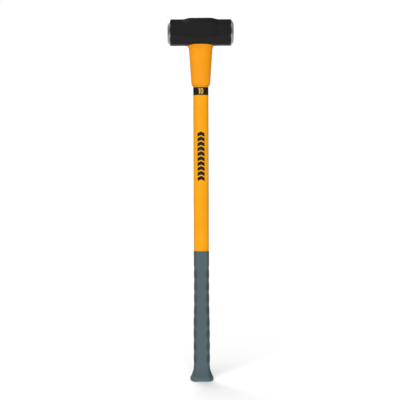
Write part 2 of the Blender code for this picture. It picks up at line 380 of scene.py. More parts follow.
def outline_angles():
    """Even steps round an oval, with extra ones beside the seams at +X and -X."""
    even = [math.tau * step / OUTLINE_POINTS for step in range(OUTLINE_POINTS)]
    extra = [
        seam + side * offset
        for seam in (0, math.pi)
        for side in (-1, 1)
        for offset in SEAM_OFFSETS
    ]
    return np.array(sorted(even + [angle % math.tau for angle in extra]))


ANGLES = outline_angles()


def oval(half, power, z, ridge=0.0):
    """A ring of points on a rounded oval at height z, its mould seams raised by ridge."""
    cos, sin = np.cos(ANGLES), np.sin(ANGLES)
    x = half[0] * np.sign(cos) * np.abs(cos) ** (2 / power)
    y = half[1] * np.sign(sin) * np.abs(sin) ** (2 / power)
    x = x + np.sign(cos) * ridge * (np.abs(sin) < SEAM_OFFSETS[0] * 1.5)
    return np.column_stack([x, y, np.full(len(ANGLES), z)])


def new_object(name, bm):
    """An object that holds the finished bmesh."""
    bmesh.ops.recalc_face_normals(bm, faces=bm.faces)
    mesh = bpy.data.meshes.new(name)
    bm.to_mesh(mesh)
    bm.free()
    obj = bpy.data.objects.new(name, mesh)
    bpy.context.scene.collection.objects.link(obj)
    return obj


def skin(name, rings, tube=False):
    """Skins rings of equal counts: a tube joins the last to the first, else ends close."""
    bm = bmesh.new()
    loops = [[bm.verts.new(point) for point in ring] for ring in rings]
    pairs = list(zip(loops, loops[1:]))
    if tube:
        pairs.append((loops[-1], loops[0]))
    for low, high in pairs:
        for index in range(len(low)):
            bm.faces.new((low[index - 1], low[index], high[index], high[index - 1]))
    if not tube:
        bm.faces.new(loops[0])
        bm.faces.new(loops[-1])
    return new_object(name, bm)


def cut_hole(obj, rings):
    """Takes the shape skinned over the rings out of the object."""
    cutter = skin("cutter", rings)
    hole = obj.modifiers.new("hole", "BOOLEAN")
    hole.operation = "DIFFERENCE"
    hole.solver = "EXACT"
    hole.object = cutter
    settle(obj)
    bpy.data.objects.remove(cutter)


def finish_piece(obj, material, replaced=(), sharp_angle=35):
    """Shades the piece, hangs it on the body and hides the frame parts that it replaces."""
    if material is not None:
        obj.data.materials.clear()
        obj.data.materials.append(material)
    obj.data.shade_smooth()
    obj.data.set_sharp_from_angle(angle=math.radians(sharp_angle))
    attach(obj, BODY)
    if replaced:
        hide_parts(*replaced)
    return obj


# ---------------------------------------------------------------- sizes and colours


class HammerSizes(bpy.types.PropertyGroup):
    """Sizes that a maker would change."""

    notch_pitch: FloatProperty(
        name="Notch pitch",
        description="Distance between notches down the sides of the grip",
        default=30.24 * MM,
        unit="LENGTH",
    )
    notch_count: IntProperty(
        name="Notches", description="Notches down each side of the grip", default=9
    )
    notch_depth: FloatProperty(
        name="Notch depth",
        description="How far a notch cuts into the side of the grip",
        default=0.9 * MM,
        unit="LENGTH",
    )
    facet_reach: FloatProperty(
        name="Facet reach",
        description="How far a corner facet comes in from the side of the grip",
        default=6.8 * MM,
        unit="LENGTH",
    )
    chevron_count: IntProperty(
        name="Chevrons", description="Printed chevrons on the shaft", default=10
    )
    chevron_pitch: FloatProperty(
        name="Chevron pitch",
        description="Distance from one printed chevron to the next",
        default=12.4 * MM,
        unit="LENGTH",
    )
    numeral_height: FloatProperty(
        name="Numeral height",
        description="Height of the printed weight number",
        default=14.0 * MM,
        unit="LENGTH",
    )


def colour_property(name, description, default):
    return FloatVectorProperty(
        name=name, description=description, default=default, subtype="COLOR", min=0, max=1
    )


class HammerColours(bpy.types.PropertyGroup):
    """Base colours of the finishes, linear."""

    paint: colour_property("Paint", "Black paint on the head", (0.0075, 0.0075, 0.0078))
    steel: colour_property("Steel", "Bare ground steel", (0.38, 0.38, 0.39))
    jacket: colour_property("Jacket", "Plastic round the shaft", (0.74, 0.30, 0.002))
    guard: colour_property("Guard", "Plastic collar under the head", (0.74, 0.265, 0.002))
    film: colour_property("Film", "Weight band", (0.013, 0.008, 0.002))
    ink: colour_property("Ink", "Print on the shaft", (0.008, 0.006, 0.004))
    numeral: colour_property("Numeral", "Print on the weight band", (0.59, 0.40, 0.10))
    rubber: colour_property("Rubber", "Grip", (0.063, 0.092, 0.109))
    resin: colour_property("Resin", "Set resin in the eye", (0.06, 0.045, 0.03))
    fibre: colour_property("Fibre", "Cut end of the rod", (0.50, 0.47, 0.33))


# ---------------------------------------------------------------- finishes


def forged_finish(colours):
    """Satin black paint over forging scale, ground off to bright steel at both ends, with
    painted floor light on the faces that look down.
    """
    net = Finish("forged_paint", Specular_IOR_Level=0.09)
    ragged_edge, bare_rim, ring_pitch = 1.0 * MM, 1.4 * MM, 0.55 * MM
    x, y, z = net.split(net.place)
    rise = z - HEAD_AXIS
    radius = (y * y + rise * rise).math("SQRT")
    from_end = HEAD_END - abs(x)
    under_cone = from_end * BEVEL_SLOPE + FACE_RADIUS - radius
    edge = under_cone - net.grain(3.5 * MM, detail=4) * ragged_edge
    bare = (1 - edge.rise(-0.2 * MM, 0.15 * MM)).math("MAXIMUM", from_end < bare_rim)
    scale = net.grain(7 * MM, detail=5, roughness=0.6)
    peel = net.grain(1.1 * MM, detail=2)
    black = net.tones(scale.rise(0.3, 0.75), colours.paint, 0.85, 1.15)
    toward_lit_floor = -net.facing()[2]  # painted floor light: the paint is made paler where it faces down
    paint = net.mixed(toward_lit_floor.rise(0.1, 0.6), black, opaque(colours.paint, 2.0))
    rings = (radius * (math.tau / ring_pitch)).math("SINE")
    smear = net.grain(9 * MM, detail=6, roughness=0.7)
    steel = net.tones(smear.rise(0.35, 0.7), colours.steel, 0.75, 1.1)
    pitted = net.raised(scale, 0.35 * MM, 0.5)
    orange_peel = net.raised(peel * (1 - bare), 0.08 * MM, 0.5, under=pitted)
    turned = net.raised(rings * bare, 0.012 * MM, 0.6, under=orange_peel)
    return net.wear(
        Base_Color=net.mixed(bare, paint, steel),
        Metallic=bare,
        Roughness=bare * (smear * 0.2 - 0.32) + (scale * 0.14 + 0.56),
        Normal=turned,
    )


def moulded_finish(name, colour, roughness, texture, texture_depth):
    """Moulded plastic: slight colour drift, flow marks along the part and a fine skin."""
    net = Finish(name, Specular_IOR_Level=0.15)
    drift = net.grain(60 * MM, detail=3)
    flow = net.grain(3 * MM, detail=3, place=net.stretched(1, 1, 0.05))
    scuff = net.grain(0.9 * MM, detail=2, place=net.stretched(1, 1, 0.02))
    skin_relief = net.grain(texture, detail=3, roughness=0.6)
    shade = net.tones(drift.rise(0.3, 0.7), colour, 0.96, 1.03)
    rubbed = net.mixed(flow.rise(0.62, 0.8) * 0.25, shade, opaque(colour, 0.9))
    skin_normal = net.raised(skin_relief, texture_depth, 0.6)
    return net.wear(
        Base_Color=rubbed,
        Roughness=drift * 0.08 + scuff.rise(0.6, 0.75) * 0.08 + roughness,
        Normal=net.raised(flow, 0.05 * MM, 0.3, under=skin_normal),
    )


def rubber_finish(colours):
    """Soft moulded rubber with a fine stipple, paler where hands and dust have been, with
    painted shade on its corner facets, flare and stipple hollows, and painted floor light on the
    butt rim.
    """
    net = Finish("slate_rubber", Specular_IOR_Level=0.25)
    stipple = net.cells(0.8 * MM)
    fine = net.grain(0.35 * MM, detail=2)
    dust = net.grain(18 * MM, detail=5, roughness=0.65)
    height = net.split(net.place)[2]
    above_rim = height.rise(BUTT_RIM_TOP - 0.6 * MM, BUTT_RIM_TOP + 0.6 * MM)
    # painted shade: the flare, which tilts upward, is darkened above the butt rim
    flare_painted_shade = height.rise(9.2 * MM, 12 * MM) * (1 - height.rise(24 * MM, 34 * MM))
    worn = dust.rise(0.35, 0.75) * 0.5 + (1 - height.rise(40 * MM, 200 * MM)) * 0.35
    shade = net.tones(worn, colours.rubber, 0.95, 1.12)
    # painted shade: the corner facets, which turn partly sideways, are darkened by the way they
    # face
    facing_x, facing_y, _ = net.facing()
    on_facet = (abs(facing_x * facing_y) * 2.7).clamp()
    facet_painted_shade = net.mixed(on_facet * 0.85, shade, opaque(colours.rubber, 0.62))
    # lays the painted shade on the flare
    kept = net.mixed(flare_painted_shade * 0.8, facet_painted_shade, opaque(colours.rubber, 0.82))
    # the butt rim is made paler, partly for real scuffs and partly as painted light bounced up
    # from the floor
    scuffs_and_floor_light = (1 - above_rim) * (dust * 0.4 + 0.5)
    rubbed = net.mixed(scuffs_and_floor_light, kept, opaque(colours.rubber, 1.3))
    # painted shade in the hollows between the stipple's bumps
    pits_painted_shade = net.mixed(stipple.rise(0.5, 0.9) * 0.18, rubbed, opaque(colours.rubber, 0.7))
    grain = net.raised(fine, 0.06 * MM, 0.4)
    return net.wear(
        Base_Color=pits_painted_shade,
        Roughness=dust * 0.12 + 0.62,
        Normal=net.raised(1 - stipple, 0.16 * MM, 0.55, under=grain),
    )


def film_finish(colours):
    """Glossy black film with faint draw lines round the shaft."""
    net = Finish("black_film", Specular_IOR_Level=0.12)
    creases = net.grain(2.2 * MM, detail=3, place=net.stretched(0.15, 0.15, 1))
    dust = net.grain(0.7 * MM, detail=2)
    shade = net.tones(dust.rise(0.62, 0.8) * 0.4, colours.film, 1.0, 2.5)
    return net.wear(
        Base_Color=shade,
        Roughness=creases * 0.15 + 0.26,
        Normal=net.raised(creases, 0.06 * MM, 0.35),
    )


def ink_finish(name, colour):
    """Screen print: nearly even, with a faint mottle and a slightly uneven sheen."""
    net = Finish(name, Specular_IOR_Level=0.12)
    mottle = net.grain(1.6 * MM, detail=4, roughness=0.65)
    shade = net.tones(mottle.rise(0.4, 0.75), colour, 1.0, 1.3)
    return net.wear(
        Base_Color=shade,
        Roughness=mottle * 0.2 + 0.38,
        Normal=net.raised(mottle, 0.02 * MM, 0.4),
    )


def resin_finish(colours):
    """Set epoxy: dark, glossy, with trapped bubbles."""
    net = Finish("cast_resin", Specular_IOR_Level=0.5)
    bubbles = net.cells(1.7 * MM)
    cloud = net.grain(6 * MM, detail=4)
    shade = net.tones(cloud.rise(0.3, 0.7), colours.resin, 0.7, 1.6)
    pale = net.mixed(1 - bubbles.rise(0.12, 0.22), shade, opaque(colours.resin, 3.0))
    return net.wear(
        Base_Color=pale,
        Roughness=cloud * 0.2 + 0.18,
        Normal=net.raised(bubbles.rise(0.1, 0.3), 0.15 * MM, 0.6),
    )


def fibre_finish(colours):
    """Cut end of a pultruded rod: tight bundles of glass in pale resin, with saw marks."""
    net = Finish("glass_fibre", Specular_IOR_Level=0.4)
    bundles = net.cells(1.1 * MM, place=net.stretched(1, 1, 0.01))
    strands = net.grain(0.25 * MM, detail=2, place=net.stretched(1, 1, 0.01))
    saw = net.grain(0.6 * MM, detail=2, place=net.stretched(0.04, 1, 1))
    shade = net.tones(bundles.rise(0.15, 0.6), colours.fibre, 1.15, 0.6)
    return net.wear(
        Base_Color=net.mixed(strands.rise(0.4, 0.7) * 0.5, shade, opaque(colours.fibre, 1.4)),
        Roughness=strands * 0.2 + 0.45,
        Normal=net.raised(saw + strands * 0.5, 0.12 * MM, 0.5),
    )


def seal_finish():
    """Soft black rubber."""
    net = Finish("seal_rubber", Specular_IOR_Level=0.3)
    bloom = net.grain(2.5 * MM, detail=4)
    return net.wear(
        Base_Color=net.mixed(bloom, (0.015, 0.015, 0.015, 1), (0.035, 0.034, 0.032, 1)),
        Roughness=bloom * 0.15 + 0.7,
        Normal=net.raised(bloom, 0.1 * MM, 0.4),
    )


def floor_finish():
    """Pale matt floor with a trace of unevenness."""
    net = Finish("pale_floor", Specular_IOR_Level=0.1)
    cloud = net.grain(0.4, detail=3)
    return net.wear(
        Base_Color=net.mixed(cloud, (0.93, 0.93, 0.93, 1), (0.96, 0.96, 0.96, 1)),
        Roughness=cloud * 0.05 + 0.85,
    )


# ---------------------------------------------------------------- head


def towards(start, end, distance):
    return blend(start, end, distance / math.dist(start, end))


def head_outline(x):
    """Points (y, z) of the forged section at x, before its ends are turned."""
    swell = smooth_step((CROWN_HALF - abs(x)) / (CROWN_HALF - CROWN_FLAT_HALF))
    depth = HEAD_ACROSS / 2 + CHEEK_SWELL * swell
    top = HEAD_TOP + CROWN_RISE * swell
    chamfer = HEAD_CHAMFER + (MIDDLE_CHAMFER - HEAD_CHAMFER) * swell
    corners = []
    for side, level, inward in (
        (1, top, -1),
        (1, HEAD_LOW.z, 1),
        (-1, HEAD_LOW.z, 1),
        (-1, top, -1),
    ):
        pair = [(side * (depth - chamfer), level), (side * depth, level + inward * chamfer)]
        corners.extend(pair if side * inward < 0 else reversed(pair))
    arc_steps, side_steps = 6, 7
    points = []
    for index, corner in enumerate(corners):
        following = corners[(index + 1) % len(corners)]
        before = towards(corner, corners[index - 1], HEAD_EDGE_EASE)
        after = towards(corner, following, HEAD_EDGE_EASE)
        reach = towards(following, corner, HEAD_EDGE_EASE)
        for step in range(arc_steps):
            share = step / arc_steps
            arc = blend(blend(before, corner, share), blend(corner, after, share), share)
            points.append(arc)
        points.extend(blend(after, reach, step / side_steps) for step in range(side_steps))
    return np.array(points)


def head_stations():
    """Pairs of x and turned radius from the middle of the +X face to the head's middle."""
    rim_radius = FACE_RADIUS + BEVEL_SLOPE * FACE_DROP
    stations = []
    face_rings = 14
    for ring in range(1, face_rings + 1):
        radius = (rim_radius - FACE_RIM_EASE) * ring / face_rings
        stations.append((HEAD_END - FACE_DROP * (radius / rim_radius) ** 2, radius))
    rim = (HEAD_END - FACE_DROP, rim_radius)
    cone = (rim[0] - FACE_RIM_EASE / BEVEL_SLOPE, rim_radius + FACE_RIM_EASE)
    start = stations[-1]
    ease_steps = 5
    for step in range(1, ease_steps + 1):
        share = step / ease_steps
        stations.append(blend(blend(start, rim, share), blend(rim, cone, share), share))
    cone_end, cone_step, bar_step, swell_step = HEAD_END - 9 * MM, 0.3 * MM, 2.6 * MM, 1.0 * MM
    middle_stations = 11
    x = cone[0] - cone_step
    while x > cone_end:
        stations.append((x, FACE_RADIUS + BEVEL_SLOPE * (HEAD_END - x)))
        x -= cone_step
    stops = list(np.arange(cone_end, CROWN_HALF, -bar_step))
    stops += list(np.arange(CROWN_HALF, CROWN_FLAT_HALF, -swell_step))
    stops += list(np.linspace(CROWN_FLAT_HALF, 0, middle_stations))
    stations += [(x, FACE_RADIUS + BEVEL_SLOPE * (HEAD_END - x)) for x in stops]
    return stations


def head_ring(x, turned_radius):
    """The finished section: the forged outline, cut back to what the lathe leaves."""
    axis = np.array([0.0, HEAD_AXIS])
    spokes = head_outline(x) - axis
    reach = np.linalg.norm(spokes, axis=1)
    k = TURNED_EDGE_SHARPNESS
    kept = (reach**-k + turned_radius**-k) ** (-1 / k)
    flat = axis + spokes * (kept / reach)[:, None]
    return np.column_stack([np.full(len(flat), x), flat])


def uneven(obj):
    """Sinks the forged surface here and there, by a fraction of a millimetre."""
    broad, small = 24 * MM, 9 * MM
    edge_margin, face_margin = 0.5 * MM, 2 * MM  # what the lathe has cut stays true
    for vertex in obj.data.vertices:
        x, y, z = vertex.co
        rise = z - HEAD_AXIS
        turned = FACE_RADIUS + BEVEL_SLOPE * (HEAD_END - abs(x))
        if math.hypot(y, rise) > turned - edge_margin or abs(x) > HEAD_END - face_margin:
            continue
        lumps = noise.noise(vertex.co / broad) + 0.5 * noise.noise(vertex.co / small)
        vertex.co -= vertex.normal * FORGE_UNEVEN * (0.5 + 0.5 * max(min(lumps, 1), -1))


def eye_half(z):
    """Half sizes of the eye, which is narrowest at the head's middle."""
    if z < HEAD_AXIS:
        return blend(EYE_WAIST_HALF, EYE_BOTTOM_HALF, (HEAD_AXIS - z) / (HEAD_AXIS - HEAD_LOW.z))
    return blend(EYE_WAIST_HALF, EYE_TOP_HALF, (z - HEAD_AXIS) / (HEAD_HIGH.z - HEAD_AXIS))


def cut_eye(head):
    """The tapered hole through the head, its top mouth broken by a small bevel."""
    beyond = 2 * MM
    below, above = HEAD_LOW.z - beyond, HEAD_HIGH.z + beyond
    mouth = HEAD_HIGH.z - EYE_MOUTH_FLARE
    rings = [oval(eye_half(z), EYE_POWER, z) for z in (below, HEAD_AXIS, mouth)]
    flare = grown(eye_half(mouth), above - mouth)
    rings.append(oval(flare, EYE_POWER, above))
    cut_hole(head, rings)


class HAMMER_OT_forge_head(bpy.types.Operator):
    """Forge the head, turn its ends and paint it"""

    bl_idname = "hammer.forge_head"
    bl_label = "Forge head"

    def execute(self, context):
        half = head_stations()
        mirrored = [(-x, radius) for x, radius in reversed(half[:-1])]
        head = skin("forged_head", [head_ring(x, radius) for x, radius in half + mirrored])
        uneven(head)
        cut_eye(head)
        material = forged_finish(context.scene.hammer_colours)
        finish_piece(head, material, ("hammer_head",), sharp_angle=30)
        return {"FINISHED"}


# ---------------------------------------------------------------- eye


class HAMMER_OT_cast_eye(bpy.types.Operator):
    """Fill the eye with resin round the rod's end"""

    bl_idname = "hammer.cast_eye"
    bl_label = "Cast eye"

    def execute(self, context):
        colours = context.scene.hammer_colours
        inner = grown(CORE_HALF, CONTACT)
        bottom, top = RESIN_LOW.z, RESIN_HIGH.z
        creep = 0.5 * MM  # the resin climbs the walls while it is liquid
        levels = (bottom, HEAD_AXIS, top)
        wall = [oval(grown(eye_half(z), -CONTACT), EYE_POWER, z) for z in levels]
        inside = oval(inner, SHAFT_POWER, top)
        dip = (0.0, 0.45, 0.8, 1.0, 1.0, 0.85, 0.5)
        surface = []
        for step, depth in enumerate(dip[1:], 1):
            ring = wall[-1] + (inside - wall[-1]) * step / len(dip)
            ring[:, 2] = top - creep * depth
            surface.append(ring)
        core_top = CORE_HIGH.z
        sink = [oval(inner, SHAFT_POWER, z) for z in (top - creep, core_top, HEAD_AXIS, bottom)]
        resin = skin("cast_resin", wall + surface + sink, tube=True)
        finish_piece(resin, resin_finish(colours), ("eye_resin",))
        for node, material in (
            ("core_rod", fibre_finish(colours)),
            ("eye_seal_ring", seal_finish()),
        ):
            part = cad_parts[node]
            part.data.materials.clear()
            part.data.materials.append(material)
        return {"FINISHED"}


# ---------------------------------------------------------------- handle


class HAMMER_OT_mould_jacket(bpy.types.Operator):
    """Mould the plastic jacket over the rod"""

    bl_idname = "hammer.mould_jacket"
    bl_label = "Mould jacket"

    def execute(self, context):
        grip_seat = grown(SHAFT_HALF, -GRIP_NECK)
        guard_seat = grown(SHAFT_HALF, -GUARD_NECK)
        grip_joint, guard_joint, edge = 0.25 * MM, 0.2 * MM, 0.5 * MM
        shoulder = GRIP_HIGH.z + grip_joint
        neck = GUARD_LOW.z - guard_joint
        profile = [
            (grip_seat, JACKET_LOW.z),
            (grip_seat, shoulder),
            (grown(SHAFT_HALF, -edge), shoulder),
            (grown(SHAFT_HALF, -0.15 * edge), shoulder + 0.4 * edge),
            (SHAFT_HALF, shoulder + edge),
        ]
        visible_rings = 24
        for step in range(1, visible_rings + 1):
            z = shoulder + edge + (neck - edge - shoulder - edge) * step / visible_rings
            profile.append((SHAFT_HALF, z))
        profile += [(guard_seat, neck), (guard_seat, JACKET_HIGH.z)]
        rings = [oval(half, SHAFT_POWER, z, ridge=SEAM_RIDGE) for half, z in profile]
        bore = grown(CORE_HALF, CONTACT)
        rings += [oval(bore, SHAFT_POWER, z) for z in (JACKET_HIGH.z, JACKET_LOW.z)]
        jacket = skin("moulded_jacket", rings, tube=True)
        colour = context.scene.hammer_colours.jacket
        material = moulded_finish("yellow_jacket", colour, 0.34, 0.5 * MM, 0.02 * MM)
        finish_piece(jacket, material, ("shaft_jacket",))
        return {"FINISHED"}


def guard_profile():
    """Half sizes, power and height of the guard's outside, from the bottom up."""
    bottom, top = GUARD_LOW.z, GUARD_HIGH.z
    bevel_top, rim_bottom = bottom + GUARD_BEVEL, top - GUARD_RIM_HEIGHT
    rim_half = (GUARD_HIGH.x - SEAM_RIDGE, GUARD_HIGH.y)
    profile = []
    bevel_steps = 8
    for step in range(bevel_steps):
        share = step / bevel_steps
        bulge = math.sin(share * math.pi / 2)
        half = blend(GUARD_EDGE_HALF, GUARD_LOW_HALF, bulge**0.9)
        profile.append((half, GUARD_LOW_POWER, bottom + (bevel_top - bottom) * share))
    body_steps = 24
    for step in range(body_steps + 1):
        share = step / body_steps
        half = blend(GUARD_LOW_HALF, GUARD_HIGH_HALF, share)
        power = GUARD_LOW_POWER + (GUARD_RIM_POWER - GUARD_LOW_POWER) * share
        profile.append((half, power, bevel_top + (rim_bottom - bevel_top) * share))
    rim_steps = 12
    rim_side = top - GUARD_RIM_ROUND * 2
    for step in range(1, rim_steps + 1):
        share = step / rim_steps
        half = blend(GUARD_HIGH_HALF, rim_half, share**GUARD_RIM_CURVE)
        profile.append((half, GUARD_RIM_POWER, rim_bottom + (rim_side - rim_bottom) * share))
    round_steps = 6
    for step in range(round_steps + 1):
        turn = step / round_steps * math.pi / 2
        half = grown(rim_half, -GUARD_RIM_ROUND * (1 - math.cos(turn)))
        profile.append((half, GUARD_RIM_POWER, top - GUARD_RIM_ROUND * (1 - math.sin(turn))))
    return profile


class HAMMER_OT_mould_guard(bpy.types.Operator):
    """Mould the collar that takes the blow of a missed swing"""

    bl_idname = "hammer.mould_guard"
    bl_label = "Mould guard"

    def execute(self, context):
        rings = [oval(half, power, z, ridge=SEAM_RIDGE) for half, power, z in guard_profile()]
        bore = grown(SHAFT_HALF, CONTACT + SEAM_RIDGE - GUARD_NECK)
        rings += [oval(bore, SHAFT_POWER, z) for z in (GUARD_HIGH.z, GUARD_LOW.z)]
        guard = skin("moulded_guard", rings, tube=True)
        colour = context.scene.hammer_colours.guard
        material = moulded_finish("orange_guard", colour, 0.42, 0.7 * MM, 0.05 * MM)
        finish_piece(guard, material, ("overstrike_guard",))
        return {"FINISHED"}


# ---------------------------------------------------------------- band and print


def shaft_front(x):
    """How far in front of the middle plane the jacket's surface is at x."""
    share = np.abs(np.asarray(x) / SHAFT_HALF[0])
    return SHAFT_HALF[1] * (1 - share**SHAFT_POWER) ** (1 / SHAFT_POWER)


def printed(name, outlines, centre, lift):
    """Flat outlines of (x, z) points, cut into strips and laid on the front of the shaft."""
    bm = bmesh.new()
    for outline in outlines:
        bm.faces.new([bm.verts.new((x, 0, z)) for x, z in outline])
    strip = 0.8 * MM
    cuts = math.ceil(max(abs(vertex.co.x) for vertex in bm.verts) / strip)
    for step in range(-cuts, cuts + 1):
        whole = bm.verts[:] + bm.edges[:] + bm.faces[:]
        cut = (step * strip, 0, 0)
        bmesh.ops.bisect_plane(bm, geom=whole, plane_co=cut, plane_no=(1, 0, 0))
    bmesh.ops.remove_doubles(bm, verts=bm.verts, dist=0.001 * MM)
    bmesh.ops.recalc_face_normals(bm, faces=bm.faces)
    pulled = bmesh.ops.extrude_face_region(bm, geom=bm.faces[:])
    moved = [item for item in pulled["geom"] if isinstance(item, bmesh.types.BMVert)]
    bmesh.ops.translate(bm, vec=(0, -INK_THICKNESS, 0), verts=moved)
    for vertex in bm.verts:
        vertex.co.y -= float(shaft_front(vertex.co.x)) + lift
        vertex.co.z += centre
    return new_object(name, bm)


def arc_loop(centre, half, count=28, power=3.0):
    """Points (x, z) of a rounded upright loop."""
    points = []
    for step in range(count):
        angle = math.tau * step / count
        cos, sin = math.cos(angle), math.sin(angle)
        x = centre[0] + half[0] * math.copysign(abs(cos) ** (2 / power), cos)
        z = centre[1] + half[1] * math.copysign(abs(sin) ** (2 / power), sin)
        points.append((x, z))
    return points


def numeral_outlines(height):
    """A narrow 1 and 0 side by side, centred, as lists of points."""
    half, stem, flag = height / 2, 0.155 * height, 0.09 * height
    left = -0.42 * height
    one = [
        (left + flag, -half),
        (left + flag + stem, -half),
        (left + flag + stem, half),
        (left + flag + 0.25 * stem, half),
        (left, half - 0.17 * height),
        (left + 0.02 * height, half - 0.27 * height),
        (left + flag, half - 0.22 * height),
    ]
    centre = (0.19 * height, 0.0)
    outer = arc_loop(centre, (0.235 * height, half))
    inner = arc_loop(centre, (0.1 * height, half - 0.12 * height))
    count = len(outer)
    zero = [
        (outer[i], outer[(i + 1) % count], inner[(i + 1) % count], inner[i])
        for i in range(count)
    ]
    return [one, *zero]


class HAMMER_OT_wrap_band(bpy.types.Operator):
    """Wrap the weight band round the shaft and print its number"""

    bl_idname = "hammer.wrap_band"
    bl_label = "Wrap band"

    def execute(self, context):
        thickness, overlap = 0.2 * MM, 0.16 * MM
        edge = 0.25 * MM
        lap_from, lap_to = -0.1, 0.35  # shares of the half width, at the back
        across = np.cos(ANGLES)
        behind = (np.sin(ANGLES) > 0) & (across < lap_to) & (across > lap_from)

        def film(amount, z):
            ring = oval(grown(SHAFT_HALF, amount), SHAFT_POWER, z)
            lapped = oval(grown(SHAFT_HALF, amount + overlap), SHAFT_POWER, z)
            return np.where(behind[:, None], lapped, ring)

        low, high = BAND_LOW.z, BAND_HIGH.z
        outside = [
            (thickness * 0.5, low),
            (thickness, low + edge),
            (thickness, (low + high) / 2),
            (thickness, high - edge),
            (thickness * 0.5, high),
        ]
        rings = [film(amount, z) for amount, z in outside]
        rings += [oval(grown(SHAFT_HALF, CONTACT), SHAFT_POWER, z) for z in (high, low)]
        band = skin("film_band", rings, tube=True)
        colours = context.scene.hammer_colours
        finish_piece(band, film_finish(colours), ("weight_band",), sharp_angle=50)
        outlines = numeral_outlines(context.scene.hammer_sizes.numeral_height)
        middle = (low + high) / 2
        numeral = printed("band_numeral", outlines, middle, thickness + CONTACT)
        finish_piece(numeral, ink_finish("numeral_ink", colours.numeral))
        return {"FINISHED"}


def chevron_mesh(width, thickness, rise):
    """One flat chevron that points up, cut into narrow strips so that it can bend."""
    bm = bmesh.new()
    strips = 24
    columns = []
    for step in range(strips + 1):
        x = width * (step / strips - 0.5)
        z = rise * (1 - abs(2 * step / strips - 1))
        columns.append([bm.verts.new((x, 0, z)), bm.verts.new((x, 0, z + thickness))])
    for left, right in zip(columns, columns[1:]):
        bm.faces.new((left[0], right[0], right[1], left[1]))
    bmesh.ops.recalc_face_normals(bm, faces=bm.faces)
    pulled = bmesh.ops.extrude_face_region(bm, geom=bm.faces[:])
    moved = [item for item in pulled["geom"] if isinstance(item, bmesh.types.BMVert)]
    bmesh.ops.translate(bm, vec=(0, -INK_THICKNESS, 0), verts=moved)
    return new_object("shaft_chevrons", bm)


class HAMMER_OT_print_chevrons(bpy.types.Operator):
    """Print a ladder of chevrons on the front of the shaft"""

    bl_idname = "hammer.print_chevrons"
    bl_label = "Print chevrons"

    def execute(self, context):
        sizes, colours = context.scene.hammer_sizes, context.scene.hammer_colours
        width, thickness, rise = 18.0 * MM, 9.0 * MM, 4.4 * MM
        chevron = chevron_mesh(width, thickness, rise)
        recipe = Recipe("chevron_ladder")
        count = recipe.input("Count", sizes.chevron_count)
        pitch = recipe.input("Pitch", sizes.chevron_pitch)
        low = recipe.input("Bottom", CHEVRONS_BOTTOM)
        half_x = recipe.input("Shaft Half Width", float(SHAFT_HALF[0]))
        half_y = recipe.input("Shaft Half Depth", float(SHAFT_HALF[1]))
        power = recipe.input("Shaft Power", SHAFT_POWER)
        lift = recipe.input("Lift", CONTACT)
        material = recipe.input("Material", ink_finish("shaft_ink", colours.ink))
        line = recipe.add(
            "GeometryNodeMeshLine",
            values={
                "Count": count,
                "Start Location": recipe.join(0.0, 0.0, low),
                "Offset": recipe.join(0.0, 0.0, pitch),
            },
        )
        copies = recipe.add(
            "GeometryNodeInstanceOnPoints",
            values={"Points": line, "Instance": recipe.given()},
        )
        flat = recipe.add("GeometryNodeRealizeInstances", values={0: copies})
        x, y, z = recipe.split(recipe.add("GeometryNodeInputPosition"))
        share = abs(x / half_x)
        front = half_y * (1 - share**power) ** (1 / power)
        wrapped = recipe.add(
            "GeometryNodeSetPosition",
            values={"Geometry": flat, "Position": recipe.join(x, y - front - lift, z)},
        )
        recipe.run(chevron, wrapped, material)
        finish_piece(chevron, None)
        return {"FINISHED"}


# ---------------------------------------------------------------- grip


